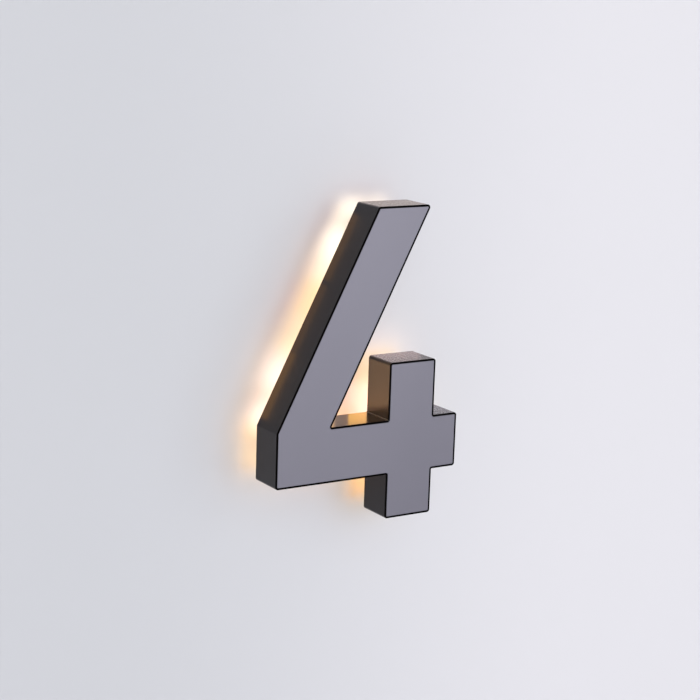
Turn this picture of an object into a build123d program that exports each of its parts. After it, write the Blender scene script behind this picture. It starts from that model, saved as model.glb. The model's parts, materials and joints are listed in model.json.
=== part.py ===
from build123d import *
import os
from math import atan2, cos, degrees, hypot, sin, tan

# Halo-lit house number: the numeral 4 as a closed metal shell that stands off a wall.
# Millimetres. While the pieces are modelled, X runs from the numeral's left end to the
# right as a viewer sees it, Y from the viewer into the wall, with the wall at Y 0, and
# Z up from the foot of the stem. The files are written with the origin moved to the arm's
# wall stud, in the wall plane.

# Outline of the numeral
SIGN_HEIGHT = 200.0
BAR_BOTTOM = 29.0
BAR_HEIGHT = 35.5
STEM_LEFT = 80.5
STEM_WIDTH = 34.5
STEM_TOP = 101.5
STUB_LENGTH = 18.0
ARM_TOP_LEFT = 68.4
ARM_WIDTH = 34.6

# Shell
SHELL_DEPTH = 25.0
WALL_GAP = 20.0
SHEET = 1.2
BEND_INSIDE = 0.7
FOLD_OUTSIDE = 0.4
LIP_RADIUS = 0.3
RIM_CHAMFER = 0.2
FACE_THICKNESS = 1.5
FACE_CHAMFER = 0.2
WEEP_RADIUS = 2.0
WEEP_FROM_REAR = 9.0
WEEP_FROM_END = 9.0
SEAM_WIDTH = 0.5
SEAM_BEAD = 0.5

# Clear back panel and what holds it
PANEL_THICKNESS = 3.0
PANEL_RECESS = 0.5
PANEL_CLEARANCE = 0.3
LUG_WIDTH = 12.0
LUG_SHEET = 1.5
LUG_REACH = 9.0
LUG_LEG = 10.5
LUG_LEFT_SHARE = 0.40
LUG_RIGHT_SHARE = 0.60
LUG_BAR_SHARE = 0.50
LUG_STEM_RISE = 14.0
SCREW_RADIUS = 1.5
SCREW_HEAD_RADIUS = 2.8
SCREW_HEAD_HEIGHT = 1.7
SCREW_KEY_RADIUS = 1.15
SCREW_KEY_DEPTH = 1.0
SCREW_TAIL = 2.0
SCREW_HOLE_CLEARANCE = 0.2
THREAD_CLEARANCE = 0.03

# Wall fixing
STUD_RADIUS = 2.0
STUD_SHANK_RADIUS = 1.75
STUD_FREE_LENGTH = 28.0
STUD_CHAMFER = 0.5
STUD_GRIP = 15.0
COLUMN_RADIUS = 4.0
COLUMN_FOOT_RADIUS = 6.0
COLUMN_FOOT_HEIGHT = 1.5
COLUMN_END_GAP = 0.5
SLEEVE_RADIUS = 4.0
SLEEVE_CHAMFER = 0.3
SEAL_RADIUS = 6.0
WALL_PAD_RADIUS = 4.0
PAD_THICKNESS = 1.0
STUD_HOLE_CLEARANCE = 0.15
ARM_STUD_DROP = 18.0
BAR_STUD_INSET = 18.0
STUB_STUD_BACK = 3.0

# LED modules
ARM_MODULE_COUNT = 4
STEM_MODULE_COUNT = 3
MODULE_LENGTH = 22.0
MODULE_WIDTH = 9.0
MODULE_HEIGHT = 4.2
MODULE_CORNER = 1.5
MODULE_WALL = 1.2
MODULE_FLOOR = 1.4
TAPE_THICKNESS = 0.8
TAPE_MARGIN = 0.6
BOARD_THICKNESS = 1.0
BOARD_CLEARANCE = 0.15
CHIP_LENGTH = 3.5
CHIP_WIDTH = 2.8
CHIP_HEIGHT = 0.7
CHIP_SPACING = 10.0
LENS_MARGIN = 0.4
LENS_PLATE = 0.8
DOME_RADIUS = 3.1
DOME_HEIGHT = 1.8

# Leads, junction block and clips
LEAD_RADIUS = 0.7
LEAD_SPACING = 2.4
LEAD_HEIGHT = 1.8
LEAD_SOCKET_DEPTH = 1.5
LEAD_SOCKET_CLEARANCE = 0.1
TURN_ROOM = 3.1
STEM_LEAD_ROOM = 3.7
BAR_TURN_RUN = 7.0
ARM_TURN_RUN = 9.0
STUD_PASS = 9.2
BLOCK_WIDTH = 16.0
BLOCK_HEIGHT = 8.0
BLOCK_DEPTH = 9.5
BLOCK_FLOOR_GAP = 1.0
BLOCK_TO_MODULE = 3.0
BLOCK_CORNER = 0.6
PORT_INSET = 3.6
PORT_DEPTH = 3.0
CLAMP_RADIUS = 1.2
CLAMP_RECESS = 0.8
CLAMP_LENGTH = 3.0
CLAMP_SLOT = 0.4
SUPPLY_PORT_RADIUS = 1.4
SUPPLY_PORT_DEPTH = 4.0
CLIP_LENGTH = 5.0
CLIP_WALL = 1.2
CLIP_CORNER = 0.5
CLIP_COUNT = 2

# Cable grommet in the panel
GROMMET_BORE = 3.0
GROMMET_WAIST = 5.0
GROMMET_FLANGE = 7.0
GROMMET_LIP = 1.5
GROMMET_EASE = 0.05
GROMMET_ABOVE_BLOCK = 11.0

# Planes along Y, from the wall to the viewer
SHELL_REAR = -WALL_GAP
SHELL_FRONT = SHELL_REAR - SHELL_DEPTH
PANEL_REAR = SHELL_REAR - PANEL_RECESS
PANEL_INNER = PANEL_REAR - PANEL_THICKNESS
FACE_INNER = SHELL_FRONT + FACE_THICKNESS
MODULE_BASE = FACE_INNER + TAPE_THICKNESS
MODULE_TOP = MODULE_BASE + MODULE_HEIGHT
LEAD_LEVEL = MODULE_BASE + LEAD_HEIGHT

# Places that follow from the outline
BAR_TOP = BAR_BOTTOM + BAR_HEIGHT
BAR_MIDDLE = BAR_BOTTOM + BAR_HEIGHT / 2
STEM_RIGHT = STEM_LEFT + STEM_WIDTH
STEM_MIDDLE = STEM_LEFT + STEM_WIDTH / 2
SIGN_WIDTH = STEM_RIGHT + STUB_LENGTH
ARM_SLOPE = ARM_TOP_LEFT / (SIGN_HEIGHT - BAR_TOP)
ARM_LEAN = atan2(ARM_TOP_LEFT, SIGN_HEIGHT - BAR_TOP)
ARM_LEVEL_WIDTH = ARM_WIDTH / cos(ARM_LEAN)
ARM_TOP_RIGHT = ARM_TOP_LEFT + ARM_LEVEL_WIDTH
ARM_ALONG = (sin(ARM_LEAN), cos(ARM_LEAN))

# The corners, clockwise as a viewer sees them, from the top of the arm
CORNERS = [
    (ARM_TOP_LEFT, SIGN_HEIGHT),
    (ARM_TOP_RIGHT, SIGN_HEIGHT),
    (ARM_LEVEL_WIDTH, BAR_TOP),
    (STEM_LEFT, BAR_TOP),
    (STEM_LEFT, STEM_TOP),
    (STEM_RIGHT, STEM_TOP),
    (STEM_RIGHT, BAR_TOP),
    (SIGN_WIDTH, BAR_TOP),
    (SIGN_WIDTH, BAR_BOTTOM),
    (STEM_RIGHT, BAR_BOTTOM),
    (STEM_RIGHT, 0.0),
    (STEM_LEFT, 0.0),
    (STEM_LEFT, BAR_BOTTOM),
    (0.0, BAR_BOTTOM),
    (0.0, BAR_TOP),
]
NOTCH_CORNER = (STEM_LEFT, BAR_TOP)


def arm_middle(z):
    """Point of the arm's centre line at height z."""
    return ((z - BAR_TOP) * ARM_SLOPE + ARM_LEVEL_WIDTH / 2, z)


STUD_PLACES = {
    "arm": arm_middle(SIGN_HEIGHT - ARM_STUD_DROP),
    "bar": (BAR_STUD_INSET, BAR_MIDDLE),
    "stub": (STEM_RIGHT - STUB_STUD_BACK, BAR_MIDDLE),
}
ORIGIN_X, ORIGIN_Z = STUD_PLACES["arm"]
os.makedirs("parts", exist_ok=True)


def save(name, *solids):
    """Write one piece, or one group of like pieces, in the numeral's own frame."""
    moved = [Pos(-ORIGIN_X, 0, -ORIGIN_Z) * solid for solid in solids]
    export_step(moved[0] if len(moved) == 1 else Compound(children=moved), f"parts/{name}.step")


def direction(start, end):
    """Unit vector from one point to another."""
    length = hypot(end[0] - start[0], end[1] - start[1])
    return ((end[0] - start[0]) / length, (end[1] - start[1]) / length)


def shifted(points, shift, closed):
    """The corners of a path that runs beside another one, shift to its right."""
    count = len(points)
    result = []
    for i, (x, z) in enumerate(points):
        before = direction(points[i - 1], points[i]) if closed or i else None
        after = direction(points[i], points[(i + 1) % count]) if closed or i < count - 1 else None
        before = before or after
        after = after or before
        middle = (before[0] + after[0], before[1] + after[1])
        reach = shift / (1 + before[0] * after[0] + before[1] * after[1])
        result.append((x + middle[1] * reach, z - middle[0] * reach))
    return result


def outline(inset):
    """The numeral's outline drawn inset inwards, with its bends and folds rounded."""
    corners = shifted(CORNERS, inset, True)
    sketch = Polygon(*corners, align=None)
    bends = []
    folds = []
    for i, corner in enumerate(corners):
        before = direction(corners[i - 1], corner)
        after = direction(corner, corners[(i + 1) % len(corners)])
        turns_right = before[0] * after[1] - before[1] * after[0] < 0
        (bends if turns_right else folds).append(corner)
    for group, radius in ((bends, BEND_INSIDE + SHEET - inset), (folds, FOLD_OUTSIDE + inset)):
        vertices = [
            sketch.vertices().sort_by_distance((corner[0], corner[1], 0))[0] for corner in group
        ]
        sketch = fillet(vertices, radius)
    return sketch


def prism(sketch, rear, front):
    """A flat sketch given thickness, from its rear plane towards the viewer."""
    return extrude(Plane.XZ.offset(-rear) * sketch, amount=rear - front, dir=(0, -1, 0))


def rod(place, radius, rear, front):
    """A round bar along Y."""
    return prism(Pos(*place) * Circle(radius), rear, front)


def ring(place, radius, bore, rear, front):
    """A round tube along Y."""
    return rod(place, radius, rear, front) - rod(place, bore, rear, front)


# Face plate: satin sheet, let in flush behind the lip of the band
face = prism(outline(SHEET), FACE_INNER, SHELL_FRONT)
face = chamfer(face.faces().sort_by(Axis.Y)[0].edges(), FACE_CHAMFER)
save("face_plate", face)

# Return band: one strip bent round the face, its front edge rounded, its ends welded in the notch
band = prism(outline(0) - outline(SHEET), SHELL_REAR, SHELL_FRONT)
band = fillet(band.faces().sort_by(Axis.Y)[0].outer_wire().edges(), LIP_RADIUS)
band = chamfer(band.faces().sort_by(Axis.Y)[-1].outer_wire().edges(), RIM_CHAMFER)
weep_y = SHELL_REAR - WEEP_FROM_REAR
for weep_x, weep_z in (
    (STEM_MIDDLE, 0.0),
    (WEEP_FROM_END, BAR_BOTTOM),
    ((STEM_RIGHT + SIGN_WIDTH) / 2, BAR_BOTTOM),
):
    band -= Pos(weep_x, weep_y, weep_z) * Cylinder(WEEP_RADIUS, 4 * SHEET)
seam = Pos(NOTCH_CORNER[0], (SHELL_REAR + SHELL_FRONT) / 2, NOTCH_CORNER[1])
seam *= Rot(0, 45, 0) * Box(8 * SHEET, 2 * SHELL_DEPTH, SEAM_WIDTH)
bead = rod(NOTCH_CORNER, SEAM_BEAD, SHELL_REAR - RIM_CHAMFER, SHELL_FRONT + LIP_RADIUS)
weld = (band & seam) + (bead - band)
save("return_band", band - seam)
save("band_seam_weld", weld)

# Lugs: bent tabs welded inside the band, each given by its place on the outline and the way in
arm_inwards = (cos(ARM_LEAN), -sin(ARM_LEAN))
arm_height = SIGN_HEIGHT - BAR_TOP
LUG_PLACES = {
    "arm_top": ((ARM_TOP_LEFT + ARM_LEVEL_WIDTH / 2, SIGN_HEIGHT), (0, -1)),
    "arm_left": (
        (ARM_TOP_LEFT * LUG_LEFT_SHARE, BAR_TOP + arm_height * LUG_LEFT_SHARE),
        arm_inwards,
    ),
    "arm_right": (
        (ARM_LEVEL_WIDTH + ARM_TOP_LEFT * LUG_RIGHT_SHARE, BAR_TOP + arm_height * LUG_RIGHT_SHARE),
        (-arm_inwards[0], -arm_inwards[1]),
    ),
    "bar_end": ((0.0, BAR_MIDDLE), (1, 0)),
    "bar_floor": ((STEM_LEFT * LUG_BAR_SHARE, BAR_BOTTOM), (0, 1)),
    "stem_top": ((STEM_MIDDLE, STEM_TOP), (0, -1)),
    "stem_foot": ((STEM_RIGHT, LUG_STEM_RISE), (-1, 0)),
    "stub_end": ((SIGN_WIDTH, BAR_MIDDLE), (-1, 0)),
}
LUG_SCREW_REACH = SHEET + (LUG_SHEET + LUG_REACH) / 2
screws = []
screw_places = []
for name, (foot, inwards) in LUG_PLACES.items():
    place = (foot[0] + inwards[0] * LUG_SCREW_REACH, foot[1] + inwards[1] * LUG_SCREW_REACH)
    screw_places.append(place)
    # Drawn with the way in along X, then turned about Y
    leg = Pos(SHEET, PANEL_INNER, 0) * Box(
        LUG_SHEET, LUG_LEG, LUG_WIDTH, align=(Align.MIN, Align.MAX, Align.CENTER)
    )
    flange = Pos(SHEET, PANEL_INNER, 0) * Box(
        LUG_REACH, LUG_SHEET, LUG_WIDTH, align=(Align.MIN, Align.MAX, Align.CENTER)
    )
    turn = Pos(foot[0], 0, foot[1]) * Rot(0, -degrees(atan2(inwards[1], inwards[0])), 0)
    lug = turn * (leg + flange)
    lug -= rod(place, SCREW_RADIUS + THREAD_CLEARANCE, PANEL_INNER, PANEL_INNER - LUG_SHEET)
    save(f"lug_{name}", lug)
    head = rod(place, SCREW_HEAD_RADIUS, PANEL_REAR + SCREW_HEAD_HEIGHT, PANEL_REAR)
    head = fillet(head.faces().sort_by(Axis.Y)[-1].edges(), SCREW_HEAD_HEIGHT / 2)
    key = Pos(*place) * RegularPolygon(SCREW_KEY_RADIUS, 6)
    head_top = PANEL_REAR + SCREW_HEAD_HEIGHT
    shank = rod(place, SCREW_RADIUS, PANEL_REAR, PANEL_INNER - LUG_SHEET - SCREW_TAIL)
    screws.append(head + shank - prism(key, head_top, head_top - SCREW_KEY_DEPTH))
save("panel_screws", *screws)

# Wall fixing: column on the face, stud through the panel, sleeve with a rubber ring at each end
SLEEVE_FRONT = PANEL_REAR + PAD_THICKNESS
SLEEVE_REAR = -PAD_THICKNESS
THREAD_FRONT = PANEL_INNER - STUD_GRIP
STUD_HOLE = STUD_RADIUS + STUD_HOLE_CLEARANCE
for name, place in STUD_PLACES.items():
    column = rod(place, COLUMN_RADIUS, PANEL_INNER, FACE_INNER)
    column += rod(place, COLUMN_FOOT_RADIUS, FACE_INNER + COLUMN_FOOT_HEIGHT, FACE_INNER)
    column -= rod(
        place, STUD_RADIUS + THREAD_CLEARANCE, PANEL_INNER, THREAD_FRONT - COLUMN_END_GAP
    )
    save(f"stud_column_{name}", column)
    stud = rod(place, STUD_RADIUS, PANEL_INNER, THREAD_FRONT)
    stud += rod(place, STUD_SHANK_RADIUS, 0, PANEL_INNER)
    tail = rod(place, STUD_RADIUS, STUD_FREE_LENGTH, 0)
    stud += chamfer(tail.faces().sort_by(Axis.Y)[-1].edges(), STUD_CHAMFER)
    save(f"wall_stud_{name}", stud)
    sleeve = ring(place, SLEEVE_RADIUS, STUD_HOLE, SLEEVE_REAR, SLEEVE_FRONT)
    sleeve_ends = [sleeve.faces().sort_by(Axis.Y)[i].outer_wire().edges() for i in (0, -1)]
    sleeve = chamfer(sleeve_ends[0] + sleeve_ends[1], SLEEVE_CHAMFER)
    save(f"spacer_sleeve_{name}", sleeve)
    save(f"panel_seal_{name}", ring(place, SEAL_RADIUS, STUD_HOLE, SLEEVE_FRONT, PANEL_REAR))
    save(f"wall_pad_{name}", ring(place, WALL_PAD_RADIUS, STUD_HOLE, 0, SLEEVE_REAR))


def spread(start, end, count):
    """Middles of count modules, evenly spaced between two distances."""
    pitch = (end - start) / count
    return [start + (i + 0.5) * pitch for i in range(count)]


# Junction block, leads up the stem and bar module, one beside the other from the stem's left side
STEM_PORT_X = STEM_LEFT + SHEET + STEM_LEAD_ROOM
BLOCK_LEFT = STEM_PORT_X + PORT_INSET - BLOCK_WIDTH
ARM_PORT_X = BLOCK_LEFT + PORT_INSET
BAR_MODULE_X = BLOCK_LEFT - BLOCK_TO_MODULE - MODULE_LENGTH / 2
TURN_TOP = STEM_TOP - SHEET - TURN_ROOM

# Module places: (middle, unit vector along the module towards the head of its chain)
module_places = []
arm_end = (STUD_PLACES["arm"][1] - COLUMN_FOOT_RADIUS - BAR_TOP) / ARM_ALONG[1]
for along in reversed(spread(0, arm_end, ARM_MODULE_COUNT)):
    module_places.append((arm_middle(BAR_TOP + along * ARM_ALONG[1]), ARM_ALONG))
module_places.append(((BAR_MODULE_X, BAR_MIDDLE), (-1.0, 0.0)))
stem_end = TURN_TOP - (STEM_MIDDLE - STEM_PORT_X) / 2
for height in reversed(spread(SHEET, stem_end, STEM_MODULE_COUNT)):
    module_places.append(((STEM_MIDDLE, height), (0.0, 1.0)))

boards = []
chips = []
tapes = []
DOME_BALL = (DOME_RADIUS**2 + DOME_HEIGHT**2) / (2 * DOME_HEIGHT)
POCKET_LENGTH = MODULE_LENGTH - 2 * (LEAD_SOCKET_DEPTH + MODULE_WALL)
POCKET_WIDTH = MODULE_WIDTH - 2 * MODULE_WALL
BOARD_TOP = MODULE_BASE + MODULE_FLOOR + BOARD_THICKNESS
LENS_TOP = MODULE_TOP + LENS_PLATE
SOCKET_RADIUS = LEAD_RADIUS + LEAD_SOCKET_CLEARANCE
for number, (middle, along) in enumerate(module_places, 1):
    # Drawn lengthwise along X at X 0, Z 0, then turned about Y and moved to its place
    turn = Pos(middle[0], 0, middle[1]) * Rot(0, -degrees(atan2(along[1], along[0])), 0)
    housing = prism(
        RectangleRounded(MODULE_LENGTH, MODULE_WIDTH, MODULE_CORNER), MODULE_TOP, MODULE_BASE
    )
    housing -= prism(Rectangle(POCKET_LENGTH, POCKET_WIDTH), MODULE_TOP, MODULE_BASE + MODULE_FLOOR)
    for end in (-1, 1):
        for side in (-1, 1):
            socket = Cylinder(SOCKET_RADIUS, 2 * LEAD_SOCKET_DEPTH)
            at = Pos(end * MODULE_LENGTH / 2, LEAD_LEVEL, side * LEAD_SPACING / 2)
            housing -= at * Rot(0, 90, 0) * socket
    save(f"led_housing_{number}", turn * housing)
    lens = prism(
        RectangleRounded(
            MODULE_LENGTH - 2 * LENS_MARGIN, MODULE_WIDTH - 2 * LENS_MARGIN, MODULE_CORNER
        ),
        LENS_TOP,
        MODULE_TOP,
    )
    cap = Pos(0, LENS_TOP, 0) * Box(
        MODULE_LENGTH, DOME_HEIGHT, MODULE_WIDTH, align=(Align.CENTER, Align.MIN, Align.CENTER)
    )
    for side in (-1, 1):
        chip_x = side * CHIP_SPACING / 2
        ball = Pos(chip_x, LENS_TOP + DOME_HEIGHT - DOME_BALL, 0) * Sphere(DOME_BALL)
        lens += ball & cap
        chip = Pos(chip_x, 0) * Rectangle(CHIP_LENGTH, CHIP_WIDTH)
        chips.append(turn * prism(chip, BOARD_TOP + CHIP_HEIGHT, BOARD_TOP))
    save(f"led_lens_{number}", turn * lens)
    board = Rectangle(POCKET_LENGTH - 2 * BOARD_CLEARANCE, POCKET_WIDTH - 2 * BOARD_CLEARANCE)
    boards.append(turn * prism(board, BOARD_TOP, MODULE_BASE + MODULE_FLOOR))
    tape = RectangleRounded(
        MODULE_LENGTH - 2 * TAPE_MARGIN, MODULE_WIDTH - 2 * TAPE_MARGIN, MODULE_CORNER
    )
    tapes.append(turn * prism(tape, MODULE_BASE, FACE_INNER))
save("led_boards", *boards)
save("led_chips", *chips)
save("module_tapes", *tapes)

# Junction block under the bar module's right end, with four lead ports along its top
BLOCK_BOTTOM = BAR_BOTTOM + SHEET + BLOCK_FLOOR_GAP
BLOCK_TOP = BLOCK_BOTTOM + BLOCK_DEPTH
BLOCK_REAR = FACE_INNER + BLOCK_HEIGHT
block_middle = (BLOCK_LEFT + BLOCK_WIDTH / 2, BLOCK_BOTTOM + BLOCK_DEPTH / 2)
block = prism(Pos(*block_middle) * Rectangle(BLOCK_WIDTH, BLOCK_DEPTH), BLOCK_REAR, FACE_INNER)
block = fillet(block.faces().sort_by(Axis.Y)[-1].edges(), BLOCK_CORNER)
clamps = []
clamp_z = BLOCK_TOP - PORT_DEPTH
for port_x in (ARM_PORT_X, STEM_PORT_X):
    for side in (-1, 1):
        x = port_x + side * LEAD_SPACING / 2
        block -= Pos(x, LEAD_LEVEL, BLOCK_TOP) * Cylinder(SOCKET_RADIUS, 2 * PORT_DEPTH)
        clamp_x = port_x + side * (CLAMP_RADIUS + CLAMP_SLOT)
        clamp_rear = BLOCK_REAR - CLAMP_RECESS
        well = (clamp_x, clamp_z)
        block -= rod(well, CLAMP_RADIUS, BLOCK_REAR, clamp_rear - CLAMP_LENGTH)
        clamp = rod(well, CLAMP_RADIUS - THREAD_CLEARANCE, clamp_rear, clamp_rear - CLAMP_LENGTH)
        slot = Pos(*well) * Rectangle(3 * CLAMP_RADIUS, CLAMP_SLOT)
        clamps.append(clamp - prism(slot, clamp_rear, clamp_rear - CLAMP_SLOT))
for port_x in (ARM_PORT_X, STEM_PORT_X):
    supply = (port_x, BLOCK_BOTTOM + SUPPLY_PORT_RADIUS + BLOCK_CORNER + CLAMP_SLOT)
    block -= rod(supply, SUPPLY_PORT_RADIUS, BLOCK_REAR, BLOCK_REAR - SUPPLY_PORT_DEPTH)
save("junction_block", block)
save("clamp_screws", *clamps)


def lead(route, side):
    """One lead of a pair: a tube on straight runs and arcs, beside the pair's middle line."""
    points = shifted(route, side * LEAD_SPACING / 2, False)
    radii = []
    for i in range(1, len(points) - 1):
        before = direction(points[i - 1], points[i])
        after = direction(points[i], points[i + 1])
        turn = abs(atan2(
            before[0] * after[1] - before[1] * after[0],
            before[0] * after[0] + before[1] * after[1],
        ))
        runs = []
        for j in (i, i + 1):
            run = hypot(points[j][0] - points[j - 1][0], points[j][1] - points[j - 1][1])
            last = j in (1, len(points) - 1)
            runs.append(run - LEAD_RADIUS if last else run / 2 - LEAD_RADIUS / 4)
        radii.append(min(runs) / tan(turn / 2))
    places = [(x, LEAD_LEVEL, z) for x, z in points]
    if radii:
        print("lead radii", [round(radius, 1) for radius in radii])
        path = FilletPolyline(*places, radius=radii)
    else:
        path = Line(*places)
    start = path @ 0
    section = Plane(origin=start, z_dir=path % 0) * Circle(LEAD_RADIUS)
    return sweep(section, path=path)


def module_end(number, end):
    """Point in the socket at one end of a module: end 1 towards its chain's head, else -1."""
    middle, along = module_places[number]
    reach = end * (MODULE_LENGTH / 2 - LEAD_SOCKET_DEPTH)
    return (middle[0] + along[0] * reach, middle[1] + along[1] * reach)


# Routes of the pairs: straight between neighbours, bent round the bar's stud and up the stem
routes = []
for number in range(ARM_MODULE_COUNT - 1):
    routes.append([module_end(number, -1), module_end(number + 1, 1)])
arm_tail = module_end(ARM_MODULE_COUNT - 1, -1)
arm_turn = (
    arm_tail[0] - ARM_ALONG[0] * (ARM_TURN_RUN + LEAD_SOCKET_DEPTH),
    arm_tail[1] - ARM_ALONG[1] * (ARM_TURN_RUN + LEAD_SOCKET_DEPTH),
)
bar_head = module_end(ARM_MODULE_COUNT, 1)
bar_turn = (bar_head[0] - BAR_TURN_RUN - LEAD_SOCKET_DEPTH, BAR_MIDDLE)
past_stud = (STUD_PLACES["bar"][0] + STUD_PASS, (arm_turn[1] + 2 * BAR_MIDDLE) / 3)
routes.append([arm_tail, arm_turn, past_stud, bar_turn, bar_head])
bar_tail = module_end(ARM_MODULE_COUNT, -1)
port_z = BLOCK_TOP - PORT_DEPTH
routes.append([bar_tail, (ARM_PORT_X, BAR_MIDDLE), (ARM_PORT_X, port_z)])
stem_head = module_end(ARM_MODULE_COUNT + 1, 1)
routes.append(
    [(STEM_PORT_X, port_z), (STEM_PORT_X, TURN_TOP), (STEM_MIDDLE, TURN_TOP), stem_head]
)
for number in range(ARM_MODULE_COUNT + 1, len(module_places) - 1):
    routes.append([module_end(number, -1), module_end(number + 1, 1)])
save("positive_leads", *[lead(route, 1) for route in routes])
save("negative_leads", *[lead(route, -1) for route in routes])

# Clips on the long run up the stem: a saddle on the face with a hole for each lead
for number in range(1, CLIP_COUNT + 1):
    clip_z = BLOCK_TOP + (TURN_TOP - BLOCK_TOP) * number / (CLIP_COUNT + 1)
    clip_width = LEAD_SPACING + 2 * (SOCKET_RADIUS + CLIP_WALL)
    clip_rear = LEAD_LEVEL + SOCKET_RADIUS + CLIP_WALL
    clip = prism(
        Pos(STEM_PORT_X, clip_z) * Rectangle(clip_width, CLIP_LENGTH), clip_rear, FACE_INNER
    )
    clip = fillet(clip.faces().sort_by(Axis.Y)[-1].edges().filter_by(Axis.Z), CLIP_CORNER)
    for side in (-1, 1):
        at = Pos(STEM_PORT_X + side * LEAD_SPACING / 2, LEAD_LEVEL, clip_z)
        clip -= at * Cylinder(SOCKET_RADIUS, 2 * CLIP_LENGTH)
    save(f"lead_clip_{number}", clip)

# Cable grommet: a rubber ring snapped into the panel above the junction block
grommet_place = (block_middle[0], BLOCK_TOP + GROMMET_ABOVE_BLOCK)
grommet = rod(grommet_place, GROMMET_WAIST, PANEL_REAR, PANEL_INNER)
outer_lip = rod(grommet_place, GROMMET_FLANGE, PANEL_REAR + GROMMET_LIP, PANEL_REAR)
grommet += fillet(outer_lip.faces().sort_by(Axis.Y)[-1].edges(), GROMMET_LIP / 2)
grommet += rod(grommet_place, GROMMET_FLANGE, PANEL_INNER, PANEL_INNER - GROMMET_LIP)
grommet -= rod(
    grommet_place, GROMMET_BORE, PANEL_REAR + GROMMET_LIP, PANEL_INNER - GROMMET_LIP
)
save("cable_grommet", grommet)

# Back panel: clear sheet just inside the band, drilled for the screws, studs and grommet
panel = prism(outline(SHEET + PANEL_CLEARANCE), PANEL_REAR, PANEL_INNER)
for place in screw_places:
    panel -= rod(place, SCREW_RADIUS + SCREW_HOLE_CLEARANCE, PANEL_REAR, PANEL_INNER)
for place in STUD_PLACES.values():
    panel -= rod(place, STUD_HOLE, PANEL_REAR, PANEL_INNER)
panel -= rod(grommet_place, GROMMET_WAIST + GROMMET_EASE, PANEL_REAR, PANEL_INNER)
save("back_panel", panel)
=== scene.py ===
import bpy
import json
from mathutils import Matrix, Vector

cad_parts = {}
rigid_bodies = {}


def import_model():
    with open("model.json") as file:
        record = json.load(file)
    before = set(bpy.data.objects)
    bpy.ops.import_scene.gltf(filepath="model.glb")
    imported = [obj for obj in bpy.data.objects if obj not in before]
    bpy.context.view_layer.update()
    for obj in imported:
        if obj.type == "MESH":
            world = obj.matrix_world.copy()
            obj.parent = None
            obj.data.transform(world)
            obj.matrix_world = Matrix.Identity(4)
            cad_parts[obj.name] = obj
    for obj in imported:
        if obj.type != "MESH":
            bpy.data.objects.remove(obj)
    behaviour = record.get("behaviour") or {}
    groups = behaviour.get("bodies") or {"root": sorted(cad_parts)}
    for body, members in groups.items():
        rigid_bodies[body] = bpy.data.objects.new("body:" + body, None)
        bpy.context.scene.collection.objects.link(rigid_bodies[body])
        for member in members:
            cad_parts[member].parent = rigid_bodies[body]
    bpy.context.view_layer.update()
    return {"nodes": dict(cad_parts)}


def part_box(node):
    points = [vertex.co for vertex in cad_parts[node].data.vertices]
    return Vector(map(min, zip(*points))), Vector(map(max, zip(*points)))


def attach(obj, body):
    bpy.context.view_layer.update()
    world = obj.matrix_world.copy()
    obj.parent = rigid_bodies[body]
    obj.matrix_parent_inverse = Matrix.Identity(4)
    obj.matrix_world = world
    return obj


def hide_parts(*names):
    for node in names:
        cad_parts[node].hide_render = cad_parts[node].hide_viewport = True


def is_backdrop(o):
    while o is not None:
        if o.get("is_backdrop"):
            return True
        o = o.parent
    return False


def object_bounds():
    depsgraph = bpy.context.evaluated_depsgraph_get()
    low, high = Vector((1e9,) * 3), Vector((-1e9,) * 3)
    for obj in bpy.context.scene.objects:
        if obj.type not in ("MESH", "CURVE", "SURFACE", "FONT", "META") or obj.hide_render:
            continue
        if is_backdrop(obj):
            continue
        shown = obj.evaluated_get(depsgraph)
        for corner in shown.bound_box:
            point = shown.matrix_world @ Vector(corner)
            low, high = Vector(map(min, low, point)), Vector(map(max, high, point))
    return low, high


for leftover in list(bpy.data.objects):
    bpy.data.objects.remove(leftover)

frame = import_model()

import json
from math import cos, pi, radians, sin

import bmesh
from mathutils import Matrix, Vector

# Camera: it stands where the photographer stood, to the left of the sign and a little above
# it, about 1.1 m off, with a long lens. Its axes were solved from the numeral's straight edges.
camera = bpy.data.objects.new("camera", bpy.data.cameras.new("camera"))
bpy.context.collection.objects.link(camera)
camera.data.sensor_width = 36.0
camera.data.lens = 92.3
camera_place = (-0.60462, -0.95506, 0.16048)
camera_right = Vector((0.84807, -0.52889, 0.0323))
camera_up = Vector((0.08379, 0.19405, 0.97741))
camera_forward = Vector((0.52321, 0.82621, -0.20889))
camera.matrix_world = Matrix.Translation(camera_place) @ Matrix(
    (camera_right, camera_up, -camera_forward)
).transposed().to_4x4()
bpy.context.scene.camera = camera
bpy.context.scene.view_settings.view_transform = "Standard"


# Wall and floor: plain pale plaster. The wall has painted light: its colour gets a little
# brighter towards the right, standing for the room light falling more strongly there. The wall
# is seen only from its front, so that views from behind show the back of the sign.
class Value:
    """One output of a shader node. Arithmetic on it adds Math nodes beside it."""

    def __init__(self, nodes, socket):
        self.nodes = nodes
        self.socket = socket

    def math(self, operation, first, second):
        return self.nodes.node("Math", {"operation": operation}, {0: first, 1: second})

    def __add__(self, other):
        return self.math("ADD", self, other)

    def __radd__(self, other):
        return self.math("ADD", other, self)

    def __sub__(self, other):
        return self.math("SUBTRACT", self, other)

    def __rsub__(self, other):
        return self.math("SUBTRACT", other, self)

    def __mul__(self, other):
        return self.math("MULTIPLY", self, other)

    def __rmul__(self, other):
        return self.math("MULTIPLY", other, self)


class Nodes:
    """The shader nodes of one material, or of the room."""

    def __init__(self, tree):
        self.tree = tree

    def node(self, kind, settings, inputs, output=0):
        """Adds one node: its settings first, then the values or links of its sockets."""
        made = self.tree.nodes.new("ShaderNode" + kind)
        for name, value in settings.items():
            setattr(made, name, value)
        for name, value in inputs.items():
            if isinstance(value, Value):
                self.tree.links.new(value.socket, made.inputs[name])
            else:
                made.inputs[name].default_value = value
        return Value(self, made.outputs[output])


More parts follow.
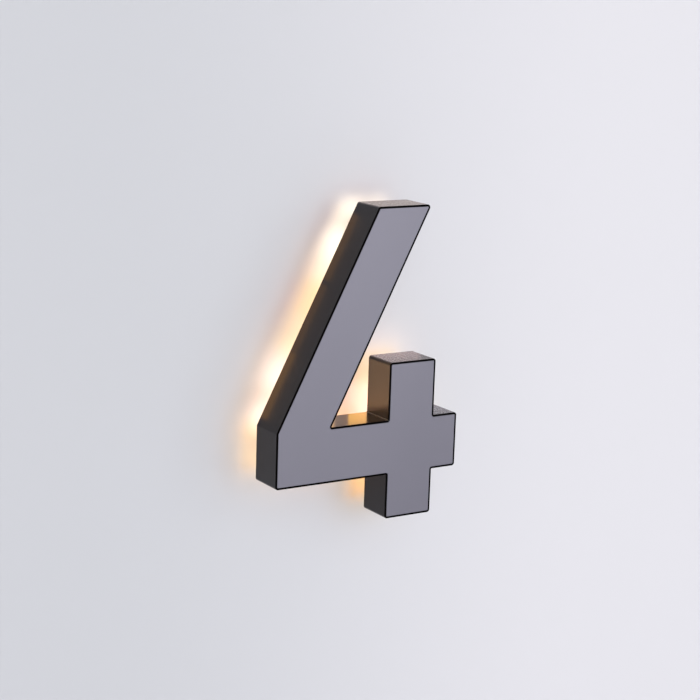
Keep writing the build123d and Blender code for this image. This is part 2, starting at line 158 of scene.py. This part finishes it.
class Finish(Nodes):
    """A material that is put together node by node round a Principled shader."""

    def __init__(self, name, **constants):
        self.material = bpy.data.materials.new(name)
        self.material.use_nodes = True
        super().__init__(self.material.node_tree)
        self.shader = self.tree.nodes["Principled BSDF"]
        for socket, value in constants.items():
            self.shader.inputs[socket.replace("_", " ")].default_value = value

    def place(self):
        """Object coordinates, in metres of the sign's own frame."""
        return self.node("TexCoord", {}, {}, "Object")

    def along(self, axis, vector=None):
        """One part of the place, or of another vector: 0 across, 1 in depth, 2 in height."""
        return self.node("SeparateXYZ", {}, {0: vector or self.place()}, axis)

    def grain(self, cells_per_metre, detail=2.0, vector=None):
        """Noise from 0 to 1, about 0.5 on average."""
        sockets = {
            "Vector": vector or self.place(), "Scale": cells_per_metre, "Detail": detail,
        }
        return self.node("TexNoise", {}, sockets)

    def blend(self, factor, first, second):
        """A colour between two colours."""
        inputs = {0: factor}
        for socket, colour in ((6, first), (7, second)):
            inputs[socket] = colour if isinstance(colour, Value) else (*colour, 1.0)
        return self.node("Mix", {"data_type": "RGBA"}, inputs, 2)

    def ease(self, value, low, high, low_out=0.0, high_out=1.0):
        """Value taken from low..high to low_out..high_out, smoothly and without overshoot."""
        return self.node(
            "MapRange",
            {"interpolation_type": "SMOOTHSTEP"},
            {0: value, 1: low, 2: high, 3: low_out, 4: high_out},
        )

    def relief(self, height, distance):
        """Shades the surface as if height, from 0 to 1, stood up by distance in metres."""
        self.drive(Normal=self.node("Bump", {}, {"Height": height, "Distance": distance}))

    def drive(self, **links):
        """Feeds the shader's sockets from values that change over the surface."""
        for socket, value in links.items():
            self.tree.links.new(value.socket, self.shader.inputs[socket.replace("_", " ")])


ROOM_REACH, FLOOR_LEVEL = 3.0, -0.9
WALL_LEFT, WALL_RIGHT = (0.640, 0.648, 0.682), (0.782, 0.774, 0.812)
LIGHTER_FROM, LIGHTER_TO = -0.20, 0.22
wall_finish = Finish("wall_plaster", Roughness=0.9)
# Painted light: the wall's colour brightens towards the right.
painted_light_to_right = wall_finish.ease(wall_finish.along(0), LIGHTER_FROM, LIGHTER_TO)
wall_finish.drive(Base_Color=wall_finish.blend(painted_light_to_right, WALL_LEFT, WALL_RIGHT))
plaster = Value(wall_finish, wall_finish.shader.outputs[0])
unseen = wall_finish.node("BsdfTransparent", {}, {})
behind = wall_finish.node("NewGeometry", {}, {}, "Backfacing")
one_sided = wall_finish.node("MixShader", {}, {0: behind, 1: plaster, 2: unseen})
wall_finish.tree.links.new(
    one_sided.socket, wall_finish.tree.nodes["Material Output"].inputs["Surface"]
)
floor_finish = Finish("floor_plaster", Roughness=0.9, Base_Color=(0.70, 0.70, 0.74, 1.0))
left, right = -ROOM_REACH, ROOM_REACH
for name, corners, finish in (
    (
        "wall",
        (
            (left, 0, FLOOR_LEVEL), (right, 0, FLOOR_LEVEL),
            (right, 0, ROOM_REACH), (left, 0, ROOM_REACH),
        ),
        wall_finish,
    ),
    (
        "floor",
        (
            (left, -ROOM_REACH, FLOOR_LEVEL), (right, -ROOM_REACH, FLOOR_LEVEL),
            (right, ROOM_REACH, FLOOR_LEVEL), (left, ROOM_REACH, FLOOR_LEVEL),
        ),
        floor_finish,
    ),
):
    sheet = bmesh.new()
    sheet.faces.new([sheet.verts.new(corner) for corner in corners])
    stage = bpy.data.objects.new(name, bpy.data.meshes.new(name))
    sheet.to_mesh(stage.data)
    sheet.free()
    stage.data.materials.append(finish.material)
    bpy.context.collection.objects.link(stage)
    stage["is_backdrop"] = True

# Room light: pale surroundings all round, one very large soft lamp in front, and two smaller
# ones to its right, one of which leaves no highlight. What is seen or mirrored of the
# surroundings is as pale as the wall.
ROOM_TINT = (0.97, 0.97, 1.0, 1.0)
ROOM_LIGHT, ROOM_SEEN = 0.25, 0.80
world = bpy.data.worlds.new("room")
bpy.context.scene.world = world
world.use_nodes = True
room = Nodes(world.node_tree)
seen = room.node("LightPath", {}, {}, "Is Camera Ray")
for ray in ("Is Glossy Ray", "Is Transmission Ray"):
    mirrored = room.node("LightPath", {}, {}, ray)
    seen = room.node("Math", {"operation": "MAXIMUM"}, {0: seen, 1: mirrored})
strength = room.node(
    "MapRange", {}, {"Value": seen, "To Min": ROOM_LIGHT, "To Max": ROOM_SEEN}
)
background = room.tree.nodes["Background"]
background.inputs["Color"].default_value = ROOM_TINT
room.tree.links.new(strength.socket, background.inputs["Strength"])


def lamp(name, place, target, size, power, colour, spread=pi, length=None):
    """A soft flat lamp at place that shines towards target, size wide and length long."""
    light = bpy.data.lights.new(name, "AREA")
    light.shape = "RECTANGLE" if length else "DISK"
    light.size = size
    if length:
        light.size_y = length
    light.energy = power
    light.color = colour
    light.spread = spread
    made = bpy.data.objects.new(name, light)
    aim = Vector(target) - Vector(place)
    made.rotation_mode = "QUATERNION"
    made.rotation_quaternion = aim.to_track_quat("-Z", "Z")
    made.location = place
    bpy.context.collection.objects.link(made)
    return made


SIGN_MIDDLE = (0.0, 0.0, -0.08)
WHITE = (1.0, 1.0, 1.0)
lamp("front", (-0.8, -7.6, 1.68), SIGN_MIDDLE, 11.0, 240.0, WHITE)
lamp("far_right", (3.2, -5.2, 1.2), SIGN_MIDDLE, 6.0, 95.0, WHITE)
right_lamp = lamp("right", (0.6, -7.2, 0.48), SIGN_MIDDLE, 4.5, 170.0, WHITE)
right_lamp.visible_glossy = False


# Face plate: one sheet of metal cut to the numeral, let in flush behind the band's lip. Its
# satin grey coat is smooth, with a very fine tooth and a hardly visible cloudiness. Its colour
# also carries painted shade: it dims a trace towards the stub, as the light falls off there.
def dress(finish, *nodes):
    """Puts a finish on CAD nodes, whose own shape stays."""
    for name in nodes:
        for slot in frame["nodes"][name].material_slots:
            slot.material = finish.material


FACE_LIGHT, FACE_DARK = (0.234, 0.228, 0.270), (0.214, 0.208, 0.249)
DARKER_FROM, STUB_END, DARKER_BY = -0.02, 0.054, 0.7
face_satin = Finish("face_satin", Metallic=0.8)
tooth = face_satin.grain(9000.0)
cloud = face_satin.grain(14.0, 1.0)
# Painted shade: the face's colour dims towards the stub.
painted_shade_to_stub = face_satin.ease(face_satin.along(0), DARKER_FROM, STUB_END, 0.0, DARKER_BY)
tone = face_satin.blend(tooth * 0.5 + cloud * 0.5 + painted_shade_to_stub, FACE_LIGHT, FACE_DARK)
face_satin.drive(Base_Color=tone, Roughness=0.36 + 0.12 * tooth)
face_satin.relief(tooth, 0.00001)
dress(face_satin, "face_plate")

# Return band: one strip of metal 25 mm deep, folded round the face and enamelled black,
# semi-gloss, with the faint orange peel of a sprayed coat. Its front lip is made rougher and
# near black, as metal that reflects almost nothing: painted shade, a dark line round the face.
# The up-facing tops outside are painted pale with a fine speckle that reads as dust: painted
# light falling on them, left out in the notch, which lies in shade.
ENAMEL, DARK_LIP_PAINT, TOP_LIGHT_PAINT = (0.006, 0.005, 0.005), (0.002, 0.002, 0.002), (0.125, 0.10, 0.096)
LIP_FRONT, LIP_REAR = -0.0448, -0.0445
SLOPING, LEVEL = 0.6, 0.95
INSIDE_FLOOR, OUTSIDE_FLOOR = -0.125, -0.119
NOTCH_END, STEM_START = -0.001, 0.003
NOTCH_FLOOR, STEM_TOP = -0.112, -0.086
band_black = Finish("band_black", IOR=1.40, Specular_Tint=(0.80, 0.72, 0.77, 1.0))
peel = band_black.grain(900.0, 1.0)
across, depth, height = (band_black.along(axis) for axis in (0, 1, 2))
lip = band_black.ease(depth, LIP_FRONT, LIP_REAR, 1.0, 0.0)
facing = band_black.node("TexCoord", {}, {}, "Normal")
upward = band_black.ease(band_black.along(2, facing), SLOPING, LEVEL)
outside = band_black.ease(height, INSIDE_FLOOR, OUTSIDE_FLOOR)
beyond_notch = band_black.ease(across, NOTCH_END, STEM_START)
above_notch = band_black.ease(height, NOTCH_FLOOR, STEM_TOP)
# The notch lies in shade, so it gets none of the painted light on the tops.
clear_of_notch_shade = beyond_notch + above_notch - beyond_notch * above_notch
# Painted light on the up-facing tops outside, speckled so that it reads as dust.
painted_light_on_tops = upward * outside * clear_of_notch_shade
speckle = 0.92 + 0.16 * band_black.grain(1500.0, 4.0)
coat = band_black.blend(painted_light_on_tops * speckle, ENAMEL, TOP_LIGHT_PAINT)
# Painted shade on the lip: near black, and as metal of that colour it reflects almost nothing.
band_black.drive(
    Base_Color=band_black.blend(lip, coat, DARK_LIP_PAINT),
    Metallic=lip,
    Roughness=0.15 + 0.06 * peel + 0.15 * lip + 0.09 * painted_light_on_tops,
)
band_black.relief(peel, 0.00002)
dress(band_black, "return_band")

# Weld: the seam where the strip's two ends meet in the notch. It is a rounded bead with fine
# ripples, run from the rear edge to the lip and covered by the same black enamel.
weld_black = Finish("weld_black", Base_Color=(0.012, 0.011, 0.010, 1.0))
ripple = weld_black.grain(1500.0, 1.0)
weld_black.drive(Roughness=0.25 + 0.15 * ripple)
weld_black.relief(ripple, 0.0001)
dress(weld_black, "band_seam_weld")


# Stud columns: turned steel posts on the back of the face, welded by a wider foot, each with
# a threaded hole that takes a wall stud. The lathe has left fine rings round them.
def metal(name, colour, roughness, marks):
    """Bare metal with tool marks: marks is their number per metre along X, Y and Z."""
    finish = Finish(name, Metallic=1.0)
    stretched = finish.node(
        "VectorMath", {"operation": "MULTIPLY"}, {0: finish.place(), 1: marks}
    )
    mark = finish.grain(1.0, vector=stretched)
    in_the_mark = tuple(0.80 * part for part in colour)
    finish.drive(
        Base_Color=finish.blend(mark, in_the_mark, colour),
        Roughness=(roughness - 0.06) + 0.12 * mark,
    )
    finish.relief(mark, 0.00002)
    return finish


STUD_NAMES = ("arm", "bar", "stub")
column_steel = metal("column_steel", (0.50, 0.49, 0.47), 0.30, (120.0, 7000.0, 120.0))
dress(column_steel, *(f"stud_column_{name}" for name in STUD_NAMES))

# Wall studs: M4 double-ended steel studs, zinc plated, with a rolled thread at both ends and
# a plain shank between. One end is screwed into its column, the other goes in the wall.
THREAD_PITCH = 0.0007
THREAD_CREST = 0.0020
THREAD_ROOT = 0.00162
# Each corner of the thread's form by its share of the pitch and its radius.
THREAD_FORM = (
    (0.0, THREAD_ROOT), (0.25, THREAD_ROOT), (0.56, THREAD_CREST), (0.69, THREAD_CREST),
    (1.0, THREAD_ROOT),
)
THREAD_STEPS = 24
SPARE_TURNS = 2
STUD_SHANK = 0.00175
STUD_CHAMFER = 0.0005
INTO_THREAD = 0.0003
COLUMN_TOP = -0.0235
SMOOTH_UNDER = radians(32.0)
stud_steel = metal("stud_steel", (0.56, 0.56, 0.55), 0.27, (900.0, 2500.0, 900.0))


def made_piece(name, mesh, slot, replaced, *finishes):
    """Turns a finished mesh into a piece that stands for CAD nodes and rides on the sign."""
    bmesh.ops.recalc_face_normals(mesh, faces=mesh.faces)
    piece = bpy.data.objects.new(name, bpy.data.meshes.new(name))
    mesh.to_mesh(piece.data)
    mesh.free()
    for finish in finishes:
        piece.data.materials.append(finish.material)
    piece.data.shade_smooth()
    piece.data.set_sharp_from_angle(angle=SMOOTH_UNDER)
    bpy.context.collection.objects.link(piece)
    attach(piece, "root")
    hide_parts(*replaced)


def thread(front, rear, chamfer):
    """A solid threaded rod along Y between two planes, its rear end chamfered."""
    mesh = bmesh.new()
    turns = int((rear - front) / THREAD_PITCH) + 2 * SPARE_TURNS
    rib = [
        mesh.verts.new((radius, front + (share - SPARE_TURNS) * THREAD_PITCH, 0.0))
        for share, radius in THREAD_FORM
    ]
    outline = [mesh.edges.new(pair) for pair in zip(rib, rib[1:])]
    bmesh.ops.spin(
        mesh, geom=rib + outline, cent=(0, 0, 0), axis=(0, 1, 0), angle=2 * pi * turns,
        dvec=(0, THREAD_PITCH / THREAD_STEPS, 0), steps=THREAD_STEPS * turns,
        use_merge=False, use_duplicate=False,
    )
    bmesh.ops.remove_doubles(mesh, verts=mesh.verts, dist=1e-6)
    for plane, outward in ((front, -1), (rear, 1)):
        bmesh.ops.bisect_plane(
            mesh, geom=mesh.verts[:] + mesh.edges[:] + mesh.faces[:], dist=1e-7,
            plane_co=(0, plane, 0), plane_no=(0, outward, 0), clear_outer=True,
        )
    bmesh.ops.holes_fill(mesh, edges=[e for e in mesh.edges if e.is_boundary], sides=0)
    for vertex in mesh.verts:
        most = THREAD_CREST - max(0.0, vertex.co.y - (rear - chamfer))
        radius = (vertex.co.x ** 2 + vertex.co.z ** 2) ** 0.5
        if chamfer and radius > most:
            vertex.co.x *= most / radius
            vertex.co.z *= most / radius
    done = bpy.data.meshes.new("thread")
    mesh.to_mesh(done)
    mesh.free()
    return done


for name in STUD_NAMES:
    low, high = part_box(f"wall_stud_{name}")
    middle = (low + high) / 2
    stud = bmesh.new()
    for front, rear, chamfer in ((low.y, COLUMN_TOP, 0.0), (0.0, high.y, STUD_CHAMFER)):
        stud.from_mesh(thread(front, rear, chamfer))
    bmesh.ops.create_cone(
        stud, cap_ends=True, segments=2 * THREAD_STEPS, radius1=STUD_SHANK, radius2=STUD_SHANK,
        depth=2 * INTO_THREAD - COLUMN_TOP,
        matrix=Matrix.Translation((0, COLUMN_TOP / 2, 0)) @ Matrix.Rotation(pi / 2, 4, "X"),
    )
    bmesh.ops.translate(stud, verts=stud.verts, vec=(middle.x, 0, middle.z))
    made_piece(f"threaded_stud_{name}", stud, "stud_steel", [f"wall_stud_{name}"], stud_steel)

# Spacer sleeves: turned aluminium tubes, pushed over the studs. They stand between the panel
# and the wall and hold the sign off it. Their ends are faced and lightly chamfered.
sleeve_aluminium = metal("sleeve_aluminium", (0.72, 0.72, 0.73), 0.30, (150.0, 5000.0, 150.0))
dress(sleeve_aluminium, *(f"spacer_sleeve_{name}" for name in STUD_NAMES))

# Lugs: tabs of steel sheet bent to an L, with the grain of rolled sheet. One leg is welded
# inside the band, and the other carries the back panel and takes its screw.
lug_steel = metal("lug_steel", (0.43, 0.43, 0.44), 0.34, (500.0, 500.0, 4500.0))
dress(lug_steel, *(name for name in frame["nodes"] if name.startswith("lug_")))

# Panel screws: M3 stainless button heads with a hexagon socket. They go through the back
# panel into the threaded holes of the lugs.
screw_steel = metal("screw_steel", (0.63, 0.62, 0.61), 0.22, (1500.0, 1500.0, 1500.0))
dress(screw_steel, "panel_screws")

# Clamp screws: small zinc-plated slotted screws in the junction block, which hold the ends
# of the leads and of the supply.
clamp_zinc = metal("clamp_zinc", (0.60, 0.60, 0.58), 0.28, (2500.0, 2500.0, 2500.0))
dress(clamp_zinc, "clamp_screws")


# Rubber rings: one seals each hole in the panel, one sits under each sleeve on the wall, and
# the grommet lines the hole for the supply. All are matt black moulded rubber.
def moulded(name, colour, roughness, cells, depth=0.00001, **constants):
    """A moulded material: cells is its grain per metre, depth the height of the grain."""
    finish = Finish(name, **constants)
    grain = finish.grain(cells)
    in_the_grain = tuple(0.88 * part for part in colour)
    finish.drive(
        Base_Color=finish.blend(grain, in_the_grain, colour),
        Roughness=(roughness - 0.07) + 0.14 * grain,
    )
    finish.relief(grain, depth)
    return finish


seal_rubber = moulded("seal_rubber", (0.021, 0.021, 0.022), 0.62, 2500.0, 0.00003)
for kind in ("panel_seal", "wall_pad"):
    dress(seal_rubber, *(f"{kind}_{name}" for name in STUD_NAMES))
grommet_rubber = moulded("grommet_rubber", (0.024, 0.024, 0.025), 0.55, 1800.0, 0.00002)
dress(grommet_rubber, "cable_grommet")

# LED modules: eight white moulded housings on foam tape, in a chain from the arm to the foot.
# Each holds a white circuit board with two LED packages under a clear lens with two domes.
MODULES = range(1, 9)
WARM_WHITE = (1.0, 0.72, 0.38, 1.0)
module_white = moulded("module_white", (0.79, 0.79, 0.77), 0.42, 1400.0, 0.00002)
dress(module_white, *(f"led_housing_{number}" for number in MODULES))
board_white = moulded("board_white", (0.80, 0.82, 0.80), 0.32, 2200.0)
dress(board_white, "led_boards")
lens_clear = Finish(
    "lens_clear", Base_Color=(0.95, 0.92, 0.85, 1.0), Alpha=0.45,
    Emission_Color=WARM_WHITE, Emission_Strength=0.8,
)
lens_clear.drive(Roughness=0.05 + 0.08 * lens_clear.grain(1200.0, 1.0))
dress(lens_clear, *(f"led_lens_{number}" for number in MODULES))

# Foam tape: closed-cell acrylic foam with adhesive on both sides, cut a little smaller than
# the housings, which it holds to the back of the face.
tape_foam = Finish("tape_foam")
cell = tape_foam.node(
    "TexVoronoi", {"feature": "F1"}, {"Vector": tape_foam.place(), "Scale": 3500.0}, "Distance"
)
tape_foam.drive(
    Base_Color=tape_foam.blend(cell, (0.70, 0.70, 0.68), (0.52, 0.52, 0.50)),
    Roughness=0.80 + 0.12 * cell,
)
tape_foam.relief(cell, 0.00008)
dress(tape_foam, "module_tapes")

# LED packages: white frames 3.5 by 2.8 mm, soldered to the boards, with a sunk and rounded
# window of yellow phosphor that glows warm white.
ARM_LEAN = radians(26.79)
LEANS = (ARM_LEAN, ARM_LEAN, ARM_LEAN, ARM_LEAN, pi / 2, 0.0, 0.0, 0.0)
CHIP_REACH = 0.005
PACKAGE_LENGTH, PACKAGE_WIDTH = 0.0035, 0.0028
WINDOW_RIM, WINDOW_CORNER, WINDOW_DEPTH = 0.00035, 0.0007, 0.00018
package_white = moulded("package_white", (0.84, 0.84, 0.80), 0.38, 3000.0)
phosphor = Finish("chip_yellow", Emission_Color=WARM_WHITE, Emission_Strength=4.0)
powder = phosphor.grain(9000.0, 3.0)
phosphor.drive(
    Base_Color=phosphor.blend(powder, (0.80, 0.56, 0.10), (0.90, 0.70, 0.20)),
    Roughness=0.45 + 0.2 * powder,
)
chips_low, chips_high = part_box("led_chips")
package = bmesh.new()
bmesh.ops.create_cube(package, size=1.0, matrix=Matrix.Diagonal(
    (PACKAGE_WIDTH, chips_high.y - chips_low.y, PACKAGE_LENGTH, 1.0)
))
window = max(package.faces, key=lambda face: face.calc_center_median().y)
bmesh.ops.inset_region(package, faces=[window], thickness=WINDOW_RIM)
bmesh.ops.bevel(
    package, geom=window.verts[:], offset=WINDOW_CORNER, segments=4, profile=0.5,
    affect="VERTICES", material=-1,
)
window = max(
    (face for face in package.faces if face.normal.y > 0.9), key=lambda face: len(face.verts)
)
bmesh.ops.inset_region(
    package, faces=[window], thickness=WINDOW_DEPTH / 2, depth=-WINDOW_DEPTH
)
window.material_index = 1
one_package = bpy.data.meshes.new("package")
package.to_mesh(one_package)
package.free()
packages = bmesh.new()
for number, lean in zip(MODULES, LEANS):
    low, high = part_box(f"led_housing_{number}")
    for end in (-1, 1):
        before = len(packages.verts)
        packages.from_mesh(one_package)
        packages.verts.ensure_lookup_table()
        place = Vector((
            (low.x + high.x) / 2 + end * CHIP_REACH * sin(lean),
            (chips_low.y + chips_high.y) / 2,
            (low.z + high.z) / 2 + end * CHIP_REACH * cos(lean),
        ))
        bmesh.ops.transform(
            packages, verts=packages.verts[before:],
            matrix=Matrix.Translation(place) @ Matrix.Rotation(lean, 4, "Y"),
        )
made_piece("led_packages", packages, "chip_yellow", ["led_chips"], package_white, phosphor)

# Leads: pairs of red and black PVC-covered wires, extruded and smooth, which run from module
# to module and to the junction block.
lead_red = moulded("lead_red", (0.50, 0.022, 0.016), 0.40, 1600.0, 0.00002)
dress(lead_red, "positive_leads")
lead_black = moulded("lead_black", (0.019, 0.019, 0.020), 0.40, 1600.0, 0.00002)
dress(lead_black, "negative_leads")

# Junction block and lead clips: natural nylon mouldings, slightly yellow, stuck to the back
# of the face. The block joins the leads to the supply, and the clips hold the long leads.
block_natural = moulded("block_natural", (0.71, 0.69, 0.61), 0.38, 1200.0, 0.00002)
dress(block_natural, "junction_block")
clip_natural = moulded("clip_natural", (0.75, 0.74, 0.68), 0.40, 1500.0, 0.00002)
dress(clip_natural, "lead_clip_1", "lead_clip_2")

# Back panel: clear polycarbonate sheet 3 mm thick, laid on the lugs just inside the band. It
# lets the light out to the wall and shows fine scuffs where it catches the light.
panel_clear = Finish(
    "panel_clear", Base_Color=(0.80, 0.84, 0.86, 1.0), Alpha=0.16, IOR=1.58
)
scuff = panel_clear.grain(160.0, 3.0)
panel_clear.drive(Roughness=0.04 + 0.10 * scuff)
dress(panel_clear, "back_panel")

# Light of the modules: it leaves the shell through the clear panel and strikes the wall 20 mm
# behind. Each stretch of a limb has a flat beam just behind the panel for its bright middle,
# and one that spreads wide for its amber edge. Bare metal doesn't mirror them.
LEFT_END, FOOT = -0.078693, -0.182
BEAM_PLANE = -0.0203
BEAM_STEP = 0.00003
BEAM_POWER = 4.7
MIDDLE_SPREAD, EDGE_SPREAD = radians(60), radians(150)


def limb_lamp(name, x, plane, z, lean, length, width, colour, spread, towards):
    """A flat unseen lamp that lies along a limb and shines along Y, towards 1 or -1."""
    level = max(colour)
    middle = Vector((x + LEFT_END, plane, z + FOOT))
    made = lamp(
        name, middle, middle + Vector((0, towards, 0)), width,
        level * BEAM_POWER * length * width, [part / level for part in colour], spread, length,
    )
    along, back = Vector((sin(lean), 0, cos(lean))), Vector((0, -towards, 0))
    made.rotation_quaternion = Matrix(
        (along.cross(back), along, back)
    ).transposed().to_quaternion()
    made.visible_camera = False
    return made


# A stretch is given by its middle, from the numeral's left end and from its foot, the lean of
# its limb, its length, its width and its two colours. No two beams lie in one plane, or one
# would hide the other.
for number, (x, z, lean, length, width, middle_colour, edge_colour) in enumerate((
    (0.0835, 0.1905, pi / 2, 0.0340, 0.0140, (1.12, 1.03, 0.77), (0.35, 0.05, 0.0)),
    (0.0720, 0.1690, ARM_LEAN, 0.0200, 0.0310, (1.05, 1.05, 0.83), (0.51, 0.10, 0.0)),
    (0.0640, 0.1528, ARM_LEAN, 0.0170, 0.0310, (0.76, 0.69, 0.55), (0.61, 0.32, 0.0)),
    (0.0546, 0.1342, ARM_LEAN, 0.0250, 0.0310, (0.60, 0.53, 0.28), (0.57, 0.09, 0.0)),
    (0.0430, 0.1112, ARM_LEAN, 0.0250, 0.0310, (0.55, 0.55, 0.37), (0.71, 0.23, 0.0)),
    (0.0310, 0.0875, ARM_LEAN, 0.0250, 0.0310, (0.52, 0.52, 0.52), (1.32, 0.82, 0.41)),
    (0.0200, 0.0640, ARM_LEAN, 0.0200, 0.0280, (0.56, 0.51, 0.51), (0.61, 0.25, 0.0)),
    (0.0200, 0.0458, pi / 2, 0.0370, 0.0335, (0.28, 0.14, 0.0), (1.38, 1.02, 0.66)),
    (0.0600, 0.0500, pi / 2, 0.0400, 0.0320, None, (2.00, 0.97, 0.42)),
    (0.0978, 0.0880, 0.0, 0.0240, 0.0315, (0.23, 0.16, 0.0), (1.16, 0.78, 0.58)),
    (0.0978, 0.0680, 0.0, 0.0200, 0.0315, (1.21, 0.58, 0.40), None),
    (0.0978, 0.0468, 0.0, 0.0240, 0.0315, (0.80, 0.70, 0.60), None),
    (0.0978, 0.0154, 0.0, 0.0270, 0.0315, (0.40, 0.13, 0.0), (0.87, 0.57, 0.16)),
    (0.1220, 0.0468, pi / 2, 0.0160, 0.0320, (0.10, 0.10, 0.10), (1.50, 1.25, 0.86)),
), 1):
    for kind, spread, colour, steps in (
        ("middle", MIDDLE_SPREAD, middle_colour, 2 * number),
        ("edge", EDGE_SPREAD, edge_colour, 2 * number + 1),
    ):
        if colour:
            beam = limb_lamp(
                f"{kind}_beam_{number}", x, BEAM_PLANE + steps * BEAM_STEP, z, lean, length,
                width, colour, spread, 1,
            )
            beam.visible_glossy = False

# The lit wall shines back on the band: flat lamps against the wall beside the limbs and over
# their tops, which show only in what mirrors them.
WALL_GLOW_PLANE = -0.0004
for number, (x, z, lean, length, width, colour) in enumerate((
    (0.0010, 0.0954, ARM_LEAN, 0.0460, 0.0090, (1.13, 0.50, 0.03)),
    (0.0222, 0.1373, ARM_LEAN, 0.0460, 0.0090, (0.61, 0.27, 0.02)),
    (0.0443, 0.1811, ARM_LEAN, 0.0460, 0.0090, (0.69, 0.31, 0.02)),
    (0.0570, 0.0780, 0.0, 0.0340, 0.0230, (1.18, 0.66, 0.27)),
    (0.0860, 0.0720, 0.0, 0.0130, 0.0140, (1.55, 0.76, 0.0)),
    (0.1120, 0.1090, pi / 2, 0.0440, 0.0110, (0.50, 0.34, 0.34)),
    (0.1440, 0.0725, pi / 2, 0.0380, 0.0110, (0.28, 0.28, 0.36)),
    (0.1060, 0.2080, pi / 2, 0.0540, 0.0110, (0.34, 0.25, 0.19)),
), 1):
    glow = limb_lamp(
        f"wall_glow_{number}", x, WALL_GLOW_PLANE, z, lean, length, width, colour, pi, -1
    )
    glow.visible_diffuse = False

low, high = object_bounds()
